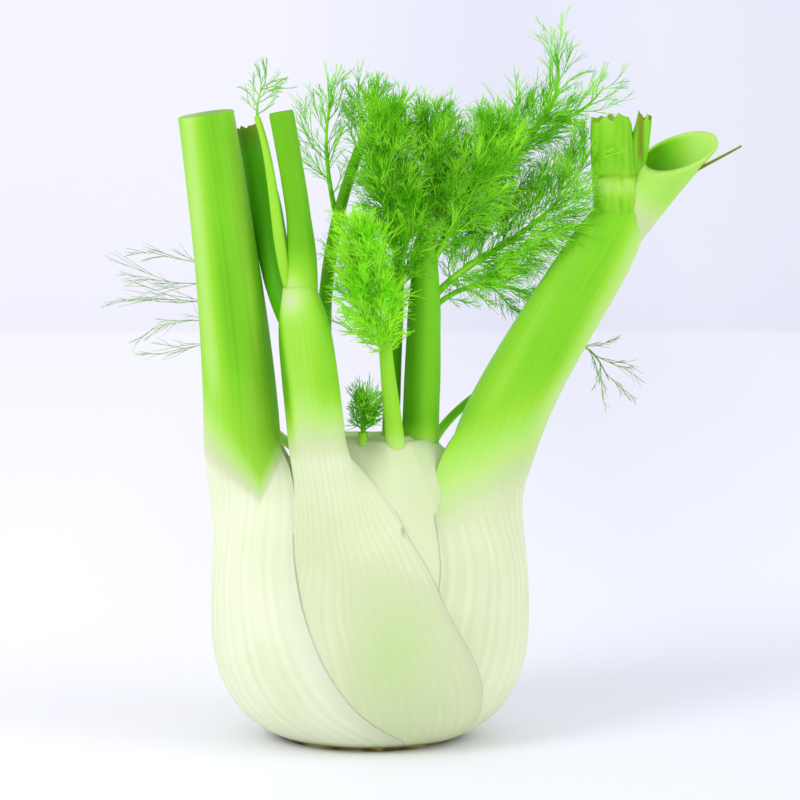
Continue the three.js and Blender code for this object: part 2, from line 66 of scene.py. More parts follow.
# How the shoulder draws in above the bulb
SHOULDER_FROM = 52
SHOULDER_HEIGHT = 42
SHOULDER_DEPTH = 24

# How thin a sheath's margin is, the air between two sheaths, and how far a margin is felt under the next
EDGE_THICKNESS = 0.1
LAYER_ROOM = 0.02
MARGIN_BLEND = 8

# Steps round and along the surfaces. On a stalk a leaf's margins meet at the back.
LEAF_SIDES = 220
LEAF_RINGS = 120
OUTER_SHARE = 0.7
MARGINS_MEET_AT = 150
STALK_SIDES = 40
STALK_RINGS = 36
HEART_SIDES = 200
HEART_RINGS = 90
PLATE_SIDES = 90
PLATE_RINGS = 31
SCOOP_SIDES = 72
SCOOP_RINGS = 60

# The leaves, outermost first: the turns of the sheath's margins, the curve of the stalk, and its half
# sizes, against height.
LEAVES = [
    {
        "name": "left_leaf",
        "from": [(0, -205), (43, -168), (60, -158), (78, -142)],
        "to": [(0, 30), (5, 12), (12, -3), (27, -15), (43, -23), (60, -28), (78, -34)],
        "stalk": [(-40, -7, 45), (-34, -7, 85), (-41, -9, 140), (-47.9, -9, 188)],
        "across": [(45, 11), (118, 10.1), (150, 9.7), (172, 9.2), (188, 8.2)],
        "deep": [(45, 11.6), (94, 11.4), (118, 10.5), (145, 9.4), (188, 8.2)],
        "thick": 5,
    },
    {
        "name": "front_leaf",
        "from": [(0, -75), (45, -62), (60, -50), (78, -42)],
        "to": [(0, 60), (27, 42), (44, 28), (55, 22.5), (62, 18), (70, 12), (78, 12)],
        "stalk": [(-12, -22, 45), (-13, -23, 80), (-17.5, -20, 112), (-20.4, -18, 138)],
        "across": [(45, 8.8), (110, 8.4), (124, 8), (132, 6.6), (138, 4.2)],
        "deep": [(45, 7.4), (110, 7.2), (124, 6.8), (132, 6), (138, 4.2)],
        "thick": 4.2,
    },
    {
        "name": "right_leaf",
        "from": [(0, 0), (30, 18), (54, 26.5), (72, 27.5), (84, 29)],
        "to": [(0, 205), (43, 172), (60, 160), (78, 146)],
        "stalk": [(38, -4, 45), (21, -4, 85), (54, 0, 118), (79.5, 3, 165)],
        "across": [(45, 11.5), (123, 10.8), (148, 9.6), (158, 8.2), (165, 5.5)],
        "deep": [(45, 13), (95, 12.4), (108, 11.6), (146, 10.3), (157, 8.4), (165, 5.5)],
        "thick": 4.6,
    },
    {
        "name": "back_leaf",
        "from": [(0, 128), (50, 138), (78, 148)],
        "to": [(0, 254), (50, 238), (78, 226)],
        "stalk": [(-8, 25, 45), (-13, 26, 80), (-16, 25.5, 98), (-17, 25, 113)],
        "across": [(45, 7), (113, 5)],
        "deep": [(45, 5.8), (113, 4.8)],
        "thick": 3.6,
    },
]

# The fork of the front leaf above its node: a shaded petiole to the left and the cut main stem
PETIOLE = [(-19, -17, 120), (-29, -8, 138), (-29.5, 2, 158), (-36.4, 4, 184)]
PETIOLE_RADII = (3.5, 4.8, 4.9, 3.7)
MAIN_STEM = [(-20.2, -18, 131), (-18.2, -17.5, 150), (-21.5, -17, 166), (-25.5, -16.5, 188.4)]
MAIN_STEM_RADII = (5.1, 4.5, 3.6, 3.5, 3.7)

# The stubs of the right leaf: a ragged stub with a spur, and the sheath cut on the slant like a scoop
STUB = [(75, 2.6, 156), (73.5, 2, 167), (72, 1, 176), (71.7, 1, 186)]
STUB_RADII = (8, 5.9)
SPUR = [(76.5, 2, 166), (79, 1, 173), (80.5, 0, 180), (81.5, 0, 187)]
SPUR_RADII = (4, 2.2)
SCOOP = [(72, 2, 149), (80, 3, 160), (87, 3, 171.5), (101, 3, 187.5)]
SCOOP_RADII = (6.5, 8.9)
SCOOP_CUT_AT = Vector((95.5, 3, 177))
SCOOP_CUT_FACING = Vector((-0.1, -0.72, 1)).normalized()
SCOOP_WALL = 1.0
SCOOP_FLOOR = 0.42
STRAND = [(93, 1, 169), (99, 0.3, 172.2), (105, -0.4, 175.4), (110.4, -1, 178.4)]
STRAND_RADII = (0.6, 0.3)

# The leafy stems that rise from the heart. A frond's rachis bears pinnae that fan out from it: lean is the
# way that they bend, and flat how far they keep to one plane. Crowd is how many stand where the frame has
# one, and fullness how many pinnules a millimetre of pinna bears. A one_sided frond bears them on its left.
LEAFY_STEMS = [
    {
        "name": "centre_leafy_stem",
        "finish": "frond",
        "stalk": [(15, 0, 86), (15.5, 0, 108), (16.5, 0, 128), (16.5, 0, 151)],
        "radius": (5.6, 5.4, 5, 3.2),
        "fronds": [
            dict(
                seed=12, rachis=[(16.8, 0.2, 140), (18, -1, 156), (20, -2, 172), (19, -2, 184)],
                radius=1.6, pinnae=14, length=16, fan=44, lean=(0.05, 0, 0.25), flat=0,
                crowd=3.2, fullness=1.25,
            ),
            dict(
                seed=18, rachis=[(17.5, 0, 142), (27, -3, 158), (35, -4, 170), (37, -5, 182)],
                radius=1.4, pinnae=11, length=18, fan=48, lean=(0.05, -0.05, 0.25), flat=0,
                crowd=3.4, fullness=1.1,
            ),
            dict(
                seed=13, rachis=[(17, 0.6, 131), (32, 3, 150), (52, 5, 148), (65, 2, 176)],
                radius=1.4, pinnae=13, length=21, fan=46, lean=(0.05, 0, 0.2), flat=0.35,
                crowd=3.4, fullness=0.95,
            ),
            dict(
                seed=14, rachis=[(17, 1, 139), (26, 8, 162), (36, 11, 176), (56, 10, 188)],
                radius=1.4, pinnae=12, length=20, fan=44, lean=(0, 0, 0.2), flat=0.3,
                crowd=3.4, fullness=0.95,
            ),
            dict(
                seed=15, rachis=[(17, 1.5, 128), (30, 10, 142), (46, 16, 136), (58, 17, 128)],
                radius=1.2, pinnae=9, length=15, fan=48, lean=(0.15, 0, -0.05), flat=0.4,
                crowd=2.8, fullness=0.66,
            ),
            dict(
                seed=16, rachis=[(50, 10.5, 184), (56, 11, 190), (58, 8, 198), (55, 5, 208)],
                radius=1, pinnae=7, length=16, fan=30, lean=(0, 0, 0.25), flat=0.2,
                crowd=1.7, fullness=0.34,
            ),
            dict(
                seed=66, rachis=[(53, 10.6, 186), (61, 11, 186), (66, 9, 190), (70, 7, 196)],
                radius=0.9, pinnae=5, length=14, fan=32, lean=(0.05, 0, 0.25), flat=0.3,
                crowd=1.7, fullness=0.34,
            ),
        ],
    },
    {
        "name": "shaded_leafy_stem",
        "finish": "frond",
        "stalk": [(6, 4, 86), (6.6, 4, 104), (7.5, 3, 122), (8.5, 2, 142)],
        "radius": (2.8, 2),
        "fronds": [
            dict(
                seed=11, rachis=[(8.4, 2, 139), (7, -2, 155), (6, -6, 172), (6, -6, 183)],
                radius=1.6, pinnae=16, length=19, fan=36, lean=(0, -0.05, 0.25), flat=0,
                crowd=3, fullness=1.2,
            ),
            dict(
                seed=19, rachis=[(7.2, 3, 126), (9, -2, 140), (11.5, -8, 150), (12, -10, 161)],
                radius=1.3, pinnae=9, length=13, fan=42, lean=(0, -0.1, 0.1), flat=0,
                crowd=3.2, fullness=1.3,
            ),
        ],
    },
    {
        "name": "young_leafy_stem",
        "finish": "young_frond",
        "stalk": [(8, -12, 86), (7, -13, 100), (5, -14, 112), (4.5, -15, 124)],
        "radius": (3, 1.8),
        "fronds": [
            dict(
                seed=21, rachis=[(5, -14.4, 111), (3.6, -16, 126), (-1, -17, 140), (-3, -16, 153)],
                radius=1.4, pinnae=16, length=15, fan=46, lean=(-0.2, -0.15, 0.2), flat=0,
                crowd=3.4, fullness=1.6,
            ),
        ],
    },
    {
        "name": "rear_leafy_stem",
        "finish": "frond",
        "stalk": [(-9, 6, 86), (-18, 10, 118), (-14, 13, 150), (-3, 12, 178)],
        "radius": (2.8, 2.2, 1.9, 1.6),
        "fronds": [
            dict(
                seed=31, rachis=[(-10.6, 12.4, 158), (-13, 13, 170), (-15, 12, 182), (-11, 11, 193)],
                radius=1.1, pinnae=7, length=17, fan=32, lean=(-0.05, 0.05, 0.2), flat=0.3,
                crowd=2.2, fullness=0.42,
            ),
            dict(
                seed=32, rachis=[(-5, 12.3, 173), (-2.5, 12, 180), (0, 12, 186), (2, 10, 192)],
                radius=1.2, pinnae=7, length=14, fan=36, lean=(-0.1, 0.05, 0.2), flat=0.3,
                crowd=2.6, fullness=0.8,
            ),
        ],
    },
    {
        "name": "left_spray",
        "finish": "spray",
        "stalk": [(-19, 9, 84), (-28, 11, 90), (-40, 9, 100), (-45, 7.2, 114)],
        "radius": (1.6, 1),
        "fronds": [
            dict(
                seed=42, rachis=[(-44.9, 7.2, 113), (-46.5, 7.4, 123), (-48, 7.2, 135), (-50.5, 6.4, 147)],
                radius=0.7, pinnae=5, length=29, fan=84, lean=(-0.3, 0, -0.12), flat=0.8,
                crowd=1, fullness=0.2, one_sided=True,
            ),
        ],
    },
    {
        "name": "right_low_spray",
        "finish": "spray",
        "stalk": [(18, 13, 86), (24, 17, 100), (46, 17, 112), (62, 11, 118)],
        "radius": (1.5, 0.9),
        "fronds": [
            dict(
                seed=51, rachis=[(61, 11, 118), (66, 9, 119), (69, 7, 115), (72, 5, 108)],
                radius=0.6, pinnae=5, length=14, fan=42, lean=(0.15, 0, -0.3), flat=0.7,
                crowd=1, fullness=0.3,
            ),
        ],
    },
    {
        "name": "tip_spray",
        "finish": "young_frond",
        "stalk": [(-22.6, -18.4, 136), (-27.6, -20, 151), (-26.6, -19, 170), (-32.6, -16, 187)],
        "radius": (1.8, 1.7, 1.3, 0.9),
        "fronds": [
            dict(
                seed=61, rachis=[(-32.2, -16.2, 185), (-33, -15, 190), (-32, -14, 194), (-30, -13, 197)],
                radius=0.6, pinnae=5, length=9, fan=50, lean=(0.2, 0, 0.1), flat=0.3,
                crowd=2, fullness=0.4,
            ),
        ],
    },
    {
        "name": "throat_frond",
        "finish": "frond",
        "stalk": [(-2, -9, 86), (-2, -9.5, 89), (-2, -10, 91), (-2, -10, 94)],
        "radius": (1.8, 1.4),
        "fronds": [
            dict(
                seed=71, rachis=[(-2, -10, 92), (-2, -10, 96), (-1, -10.5, 99), (-1, -11, 102)],
                radius=1.2, pinnae=6, length=9, fan=42, lean=(0, -0.1, 0.1), flat=0,
                crowd=3.4, fullness=1.2,
            ),
        ],
    },
]

# How much a stalk's cut face tips towards the front, and how deep a cut face has sunk
CUT_TILT = 0.1
LEAF_CUT_DEPTH = 0.6
STEM_CUT_DEPTH = 0.5

# The share of a leaf's and of a stem's rings that close its cut end
LEAF_CAP = 0.04
STEM_CAP = 0.1

# How far the dry line reaches up from the foot of each sheath
DRY_FOOT = 1.6

# How uneven a sheath's surface is, and how far its ribs stray, in turns of a rib
SURFACE_WOBBLE = 0.35
RIB_WANDER = 1.6

# How the fine threads of a frond grow: forks of a pinnule, how much threads curl, how far a pinna bows,
# and how often and how much a pinnule is longer than its neighbours
FORKS = 3
CURL = 0.56
BOW = 0.09
LONG_PINNULES = 0.1
LONG_PINNULE_SIZE = 1.6

# One upright edge of each of three stalks: its place, at what height, and how much it leans
LEFT_STALK_EDGE = (-47.4, 93.6, -0.088)
FRONT_STALK_EDGE = (-23, 95, -0.144)
RIGHT_STALK_EDGE = (45.6, 78.6, 0.5)

# The heights of the front leaf's node and of the node under the ragged stub
NODE_HEIGHT = 134
STUB_NODE_HEIGHT = 169.5

# The pale front of the bulb has one greener patch: its middle and its reach
PATCH_AT = (7, 34)
PATCH_REACH = (13, 20)
PATCH_GREEN = 0.1

# A small scar on the front: its middle and its reach
SCAR_AT = (9.9, 67.5)
SCAR_REACH = (0.5, 0.9)


def mix(a, b, t):
    """The value at a share of the way from one value to another."""
    return a + (b - a) * t


def smoothstep(x, low, high):
    """0 up to low, 1 from high on, and a soft rise between them."""
    t = min(1, max(0, (x - low) / (high - low)))
    return t * t * (3 - 2 * t)


def bell(x, middle, reach):
    """1 at the middle, and next to nothing at twice the reach from it."""
    return math.exp(-(((x - middle) / reach) ** 2))


def colour(text):
    """A hex colour as linear red, green, blue and alpha."""
    parts = [int(text[i : i + 2], 16) / 255 for i in (1, 3, 5)]
    return [c / 12.92 if c <= 0.04045 else ((c + 0.055) / 1.055) ** 2.4 for c in parts] + [1.0]


def along(pairs, z):
    """The value at a height of a curve given as (height, value) pairs."""
    if z <= pairs[0][0]:
        return pairs[0][1]
    for (z0, v0), (z1, v1) in zip(pairs, pairs[1:]):
        if z <= z1:
            return mix(v0, v1, (z - z0) / (z1 - z0))
    return pairs[-1][1]


def through(values, t):
    """The value at a share of the way through evenly spaced values."""
    place = t * (len(values) - 1)
    low = min(len(values) - 2, int(place))
    return mix(values[low], values[low + 1], place - low)


def softly_along(pairs, z, reach=5):
    """The same value with its corners rounded off over a reach."""
    return sum(along(pairs, z + reach * k / 2) for k in (-2, -1, 0, 1, 2)) / 5


def half_width(z):
    """Half the width of the bulb at a height."""
    below = max(0, WIDEST_AT - z) / (WIDEST_AT + 2)
    above = smoothstep(z, WIDEST_AT, WIDEST_AT + 50)
    return BULB_HALF_WIDTH * (1 - below**2.6) ** (1 / 3) - 3.6 * above


def shoulder(z):
    """How far the bulb has drawn in at a height above its shoulder."""
    return SHOULDER_DEPTH * max(0, (z - SHOULDER_FROM) / SHOULDER_HEIGHT) ** 2.1


def on_bulb(turn, z, inward):
    """A point on the bulb, a turn in degrees round from the front, or inward from its surface."""
    rx = half_width(z)
    ry = rx * BULB_DEPTH_RATIO
    a = math.radians(turn)
    return Vector(((rx - inward) * math.sin(a), -(ry - inward) * math.cos(a), z))


def bezier(points, t):
    """The place at a share of a curve through four control points."""
    a, b, c, d = (Vector(p) for p in points)
    s = 1 - t
    return a * s**3 + b * 3 * s * s * t + c * 3 * s * t * t + d * t**3


def bezier_way(points, t):
    """The way that the curve runs at a share of it."""
    a, b, c, d = (Vector(p) for p in points)
    s = 1 - t
    return ((b - a) * s * s + (c - b) * 2 * s * t + (d - c) * t * t).normalized()


def frame_on(points, t):
    """The place, the way and two directions square to it on a curve."""
    way = bezier_way(points, t)
    side = Vector((0.3, 1, 0.2))
    side = (side - way * side.dot(way)).normalized()
    return bezier(points, t), way, side, way.cross(side)


def share_at_height(points, z):
    """Where a rising curve passes a height."""
    low, high = 0.0, 1.0
    for _ in range(30):
        middle = (low + high) / 2
        if bezier(points, middle).z < z:
            low = middle
        else:
            high = middle
    return (low + high) / 2


def sheath_thickness(leaf, w):
    """How thick a sheath is from its middle (0) to its margins (-1 and 1)."""
    return leaf["thick"] * (1 - abs(w) ** 3) + EDGE_THICKNESS


def buried_by(outer, turn, z):
    """How far in the leaves on the outside of a stack push the surface under them."""
    depth = 0
    for leaf in outer:
        start = softly_along(leaf["from"], z)
        half = (softly_along(leaf["to"], z) - start) / 2
        off = (turn - start - half + 180) % 360 - 180
        w = abs(off / half)
        beyond = max(0, w - 1) * math.radians(half) * half_width(z)
        cover = sheath_thickness(leaf, min(1, w)) + LAYER_ROOM
        depth += cover * bell(beyond, 0, MARGIN_BLEND)
    return depth


def dice(seed):
    """Draws between 0 and 1, the same for the same seed."""
    state = seed
    while True:
        state = (state * 1664525 + 1013904223) % 4294967296
        yield state / 4294967296


def loft(name, across, along_steps, place):
    """A closed surface: a grid rolled into a tube, with each corner put where place(u, v) says."""
    bm = bmesh.new()
    bmesh.ops.create_grid(bm, x_segments=across, y_segments=along_steps, size=1, calc_uvs=True)
    # The green and dry attributes also carry the painted light and shade that place(u, v) gives.
    green = bm.verts.layers.float.new("green")
    dry = bm.verts.layers.float.new("dry")
    for vert in bm.verts:
        u, v = (vert.co.x + 1) / 2, (vert.co.y + 1) / 2
        point, vert[green], vert[dry] = place(u, v)
        vert.co = point * MM
    bmesh.ops.remove_doubles(bm, verts=bm.verts, dist=2e-6)
    rims = [e for e in bm.edges if e.is_boundary]
    if rims:
        bmesh.ops.holes_fill(bm, edges=rims, sides=0)
    bmesh.ops.recalc_face_normals(bm, faces=bm.faces)
    for face in bm.faces:
        face.smooth = len(face.verts) <= 4
    mesh = bpy.data.meshes.new(name)
    bm.to_mesh(mesh)
    bm.free()
    piece = bpy.data.objects.new(name, mesh)
    bpy.context.scene.collection.objects.link(piece)
    return piece


def tube(name, points, radii, shade, sides=STALK_SIDES, ribs=9, ragged=0, dry_top=0.5):
    """A round stem along a curve, with fine ribs and a cut, slightly sunk end."""
    frames = {}

    def frame_at(t):
        key = round(t, 5)
        if key not in frames:
            frames[key] = frame_on(points, t)
        return frames[key]

    def place(u, v):
        body = min(1, v / (1 - STEM_CAP))
        over = max(0, (v - 1 + STEM_CAP) / STEM_CAP)
        centre, way, side, other = frame_at(body)
        a = 2 * math.pi * u
        radius = through(radii, body)
        radius *= 1 + 0.012 * math.cos(ribs * a) + 0.03 * noise(centre * 0.08 + side * math.cos(a))
        radius *= 1 - over**1.4
        round_about = Vector((2.6 * math.cos(a), 2.6 * math.sin(a), ragged))
        torn = 1.4 * noise(round_about) + 0.25 * math.sin(9 * a)
        lift = ragged * body**6 * torn * (1 - over)
        sunk = -STEM_CUT_DEPTH * math.sin(over * math.pi / 2) + lift
        point = centre + side * math.cos(a) * radius + other * math.sin(a) * radius + way * sunk
        green, dry = shade(point)
        return point, green, max(dry, dry_top * smoothstep(over, 0.0, 0.12))

    return loft(name, sides, STALK_RINGS, place)


def finish_piece(piece, node, material):
    """Gives a piece its material, its place in the record and the node that it replaces."""
    piece.data.materials.clear()
    piece.data.materials.append(material)
    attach(piece, "root")
    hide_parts(node)
    return piece


def join(pieces, name):
    """Puts the meshes of several pieces into the first one."""
    bm = bmesh.new()
    for piece in pieces:
        bm.from_mesh(piece.data)
    first = pieces[0]
    bm.to_mesh(first.data)
    bm.free()
    for piece in pieces[1:]:
        bpy.data.objects.remove(piece)
    first.name = name
    first.data.name = name
    return first


def new_material(name):
    """A material with its node tree and its shader."""
    material = bpy.data.materials.new(name)
    material.use_nodes = True
    return material, material.node_tree, material.node_tree.nodes["Principled BSDF"]


def add(tree, kind, **values):
    """A node with its inputs and settings."""
    node = tree.nodes.new(kind)
    for key, value in values.items():
        if key in node.inputs:
            node.inputs[key].default_value = value
        else:
            setattr(node, key, value)
    return node


def put(node, values):
    """Sets entries of a node."""
    for key, value in values.items():
        node.inputs[key].default_value = value


def link(source, output, target, entry):
    """Joins an output of one node to an entry of another."""
    source.id_data.links.new(source.outputs[output], target.inputs[entry])


def ramp(tree, stops):
    """A colour ramp with its stops as (place, colour) pairs in order."""
    node = tree.nodes.new("ShaderNodeValToRGB")
    elements = node.color_ramp.elements
    elements[0].position, elements[0].color = stops[0]
    elements[1].position, elements[1].color = stops[-1]
    for position, tint in stops[1:-1]:
        elements.new(position).color = tint
    return node


def streaks(tree, scale):
    """Noise drawn out along the leaf's own length."""
    uv = add(tree, "ShaderNodeUVMap")
    mapping = add(tree, "ShaderNodeMapping")
    put(mapping, {"Scale": scale})
    texture = add(tree, "ShaderNodeTexNoise", Scale=1.0, Detail=3.0, Roughness=0.55)
    link(uv, "UV", mapping, "Vector")
    link(mapping, "Vector", texture, "Vector")
    return texture


# The greens between the cream of the bulb and the darkest stalk, and where the stalk's own green lies
LEAF_TINTS = {
    0.1: "#ced9ac",
    0.2: "#c2d79a",
    0.35: "#b8dd78",
    0.5: "#a6dc5c",
    0.62: "#98d538",
    0.9: "#62a812",
    1.0: "#52a60a",
}
STALK_GREEN_AT = 0.78

# How far blotches and fine streaks shift the green, and how much of that is taken back to keep its mean
BLOTCH_SHARE = 0.14
STREAK_SHARE = 0.12
MEAN_SHIFT = 0.13


def leaf_material(name, settings, streak_scale=(90, 2.5, 1)):
    """Waxy leaf tissue: cream at the base, through pale green to the green of the stalk."""
    material, tree, shader = new_material(name)
    green = add(tree, "ShaderNodeAttribute", attribute_name="green")
    coordinates = add(tree, "ShaderNodeTexCoord")
    blotches = add(tree, "ShaderNodeTexNoise", Scale=30.0, Detail=3.0, Roughness=0.45)
    link(coordinates, "Object", blotches, "Vector")
    fine = streaks(tree, streak_scale)
    wander = add(tree, "ShaderNodeMath", operation="MULTIPLY_ADD")
    put(wander, {1: BLOTCH_SHARE})
    link(blotches, "Fac", wander, 0)
    link(green, "Fac", wander, 2)
    veined = add(tree, "ShaderNodeMath", operation="MULTIPLY_ADD")
    put(veined, {1: STREAK_SHARE})
    link(fine, "Fac", veined, 0)
    link(wander, "Value", veined, 2)
    level = add(tree, "ShaderNodeMath", operation="SUBTRACT")
    put(level, {1: MEAN_SHIFT})
    link(veined, "Value", level, 0)
    ends = {0.0: list(settings.sheath_colour) + [1], STALK_GREEN_AT: list(settings.stalk_colour) + [1]}
    between = {place: colour(tint) for place, tint in LEAF_TINTS.items()}
    tints = ramp(tree, sorted((ends | between).items()))
    link(level, "Value", tints, "Fac")
    # The dry attribute holds the dry cut ends, the dry foot, the scar, and a painted shade along the front
    # stalk's left edge, all mixed in as olive brown.
    dry = add(tree, "ShaderNodeAttribute", attribute_name="dry")
    dry_marks_and_painted_shade = add(tree, "ShaderNodeMix", data_type="RGBA")
    put(dry_marks_and_painted_shade, {"B": colour("#6f641c")})
    link(dry, "Fac", dry_marks_and_painted_shade, "Factor")
    link(tints, "Color", dry_marks_and_painted_shade, "A")
    link(dry_marks_and_painted_shade, "Result", shader, "Base Color")
    relief = add(tree, "ShaderNodeBump", Strength=0.22, Distance=0.0003)
    link(fine, "Fac", relief, "Height")
    link(relief, "Normal", shader, "Normal")
    put(shader, {
        "Roughness": 0.45,
        "Specular IOR Level": 0.12,
        "Subsurface Weight": 0.2,
        "Subsurface Radius": (0.8, 1.0, 0.4),
        "Subsurface Scale": 0.004,
    })
    return material


def thread_material(name, dark, bright):
    """Soft green threads, lighter and darker in tufts."""
    material, tree, shader = new_material(name)
    coordinates = add(tree, "ShaderNodeTexCoord")
    tufts = add(tree, "ShaderNodeTexNoise", Scale=120.0, Detail=4.0, Roughness=0.65)
    link(coordinates, "Object", tufts, "Vector")
    tints = ramp(tree, [(0.38, dark), (0.62, bright)])
    link(tufts, "Fac", tints, "Fac")
    link(tints, "Color", shader, "Base Color")
    put(shader, {"Roughness": 0.5, "Specular IOR Level": 0.1})
    return material


def plate_material():
    """The dry, brownish cut face of the root crown, with faint rings."""
    material, tree, shader = new_material("root_plate_cut")
    coordinates = add(tree, "ShaderNodeTexCoord")
    rings = add(tree, "ShaderNodeTexWave", wave_type="RINGS", Scale=90.0, Distortion=5.0, Detail=3.0)
    rings.rings_direction = "Z"
    link(coordinates, "Object", rings, "Vector")
    specks = add(tree, "ShaderNodeTexNoise", Scale=420.0, Detail=4.0)
    link(coordinates, "Object", specks, "Vector")
    both = add(tree, "ShaderNodeMath", operation="MULTIPLY")
    link(rings, "Fac", both, 0)
    link(specks, "Fac", both, 1)
    tints = ramp(tree, [(0.05, colour("#5b4a14")), (0.35, colour("#8c7f35")), (0.8, colour("#c3bd7c"))])
    link(both, "Value", tints, "Fac")
    link(tints, "Color", shader, "Base Color")
    relief = add(tree, "ShaderNodeBump", Strength=0.5, Distance=0.0005)
    link(specks, "Fac", relief, "Height")
    link(relief, "Normal", shader, "Normal")
    put(shader, {"Roughness": 0.8})
    return material


def colour_setting(name, description, tint):
    """A colour that a user can change, with its first value as a hex colour."""
    return bpy.props.FloatVectorProperty(
        name=name, description=description, subtype="COLOR", size=3, min=0, max=1, default=colour(tint)[:3]
    )


class FennelSettings(bpy.types.PropertyGroup):
    """The sizes and colours of the bulb that a user would change"""

    rib_count: bpy.props.IntProperty(
        name="Ribs", description="Fine ribs along each leaf", default=23, min=5, max=60
    )
    rib_height: bpy.props.FloatProperty(
        name="Rib height", description="Height of a rib", default=0.0001, unit="LENGTH", min=0, max=0.002
    )
    thread_radius: bpy.props.FloatProperty(
        name="Thread radius", description="Radius of a frond's thread", default=0.00014, unit="LENGTH"
    )
    sheath_colour: colour_setting("Sheath colour", "Cream of the bulb", "#e8eed0")
    stalk_colour: colour_setting("Stalk colour", "Green of the stalks", "#7bc822")
    frond_dark: colour_setting("Frond shade", "Dark green of the fronds", "#60c20c")
    frond_bright: colour_setting("Frond light", "Light green of the fronds", "#aaf83c")


def spot(point, middle, reach):
    """A soft spot on the front, as seen straight on."""
    return bell(point.x, middle[0], reach[0]) * bell(point.z, middle[1], reach[1]) * (point.y < 0)


def edge_at(edge, z):
    """Where a stalk's edge is at a height."""
    place, height, slope = edge
    return place + slope * (z - height)


def greenness(name, point):
    """How green a leaf is at a point: the cream of the bulb gives way to green up the stalk, with bands of
    painted light and shade along the stalks.
    """
    x, z = point.x, point.z
    patch = PATCH_GREEN * spot(point, PATCH_AT, PATCH_REACH)
    if name == "left_leaf":
        off = x + 32
        foot = 77.6 + (2.1 * off if off > 0 else -1.15 * off)
        soft = 5 + 0.6 * max(0, -off)
        edge = edge_at(LEFT_STALK_EDGE, z)
        # Painted light and shade on the stalk: a highlight band near its left edge, a lighter strip near
        # its right edge, and a darker band between them.
        painted_light_and_shade = 0.3 * bell(x, edge + 3, 2.6) * smoothstep(z, 96, 118)
        painted_light_and_shade += 0.12 * bell(x, edge + 16.6, 1.2) * smoothstep(z, 108, 125)
        painted_light_and_shade -= 0.08 * bell(x, edge + 10, 3) * smoothstep(z, 84, 104)
        low = 0.13 * (1 - smoothstep(z, 94, 124))
        return 0.035 + patch + (0.695 - low) * smoothstep(z, foot - soft, foot + soft) - painted_light_and_shade
    if name == "front_leaf":
        edge = edge_at(FRONT_STALK_EDGE, z)
        # Painted shade: greener on the stalk's right side and along its left edge. Painted highlight: paler
        # at the node.
        right = 0.14 * smoothstep(x, -19, -12) * smoothstep(z, 92, 108)
        left = 0.42 * (1 - smoothstep(x - edge, 0.4, 3.4)) * smoothstep(z, 86, 104)
        node = 0.4 * bell(z, NODE_HEIGHT, 4) * bell(x, -23, 3.6)
        return 0.08 + patch + 0.5 * smoothstep(z, 86, 112) + right + left - node
    if name == "right_leaf":
        edge = edge_at(RIGHT_STALK_EDGE, z)
        # Painted highlight: paler along the stalk's right edge and near its left edge.
        pale = 0.42 * (1 - smoothstep(edge - x, 0, 9.6)) * smoothstep(z, 88, 108)
        pale += 0.1 * smoothstep(edge - x, 17, 22) * smoothstep(z, 96, 110)
        low = 0.09 * (1 - smoothstep(z, 92, 120))
        # Painted light: the low right of the bulb, on its shaded side, is paler.
        shade = 0.04 * (1 - smoothstep(z, 18, 42))
        return 0.09 - shade + patch + (0.68 - low) * smoothstep(z + 0.45 * (36 - x), 70, 104) - pale
    return 0.1 + 0.55 * smoothstep(z, 72, 105)


def scar(point):
    """How far the small scar on the front reaches a point."""
    return 0.8 * spot(point, SCAR_AT, SCAR_REACH)


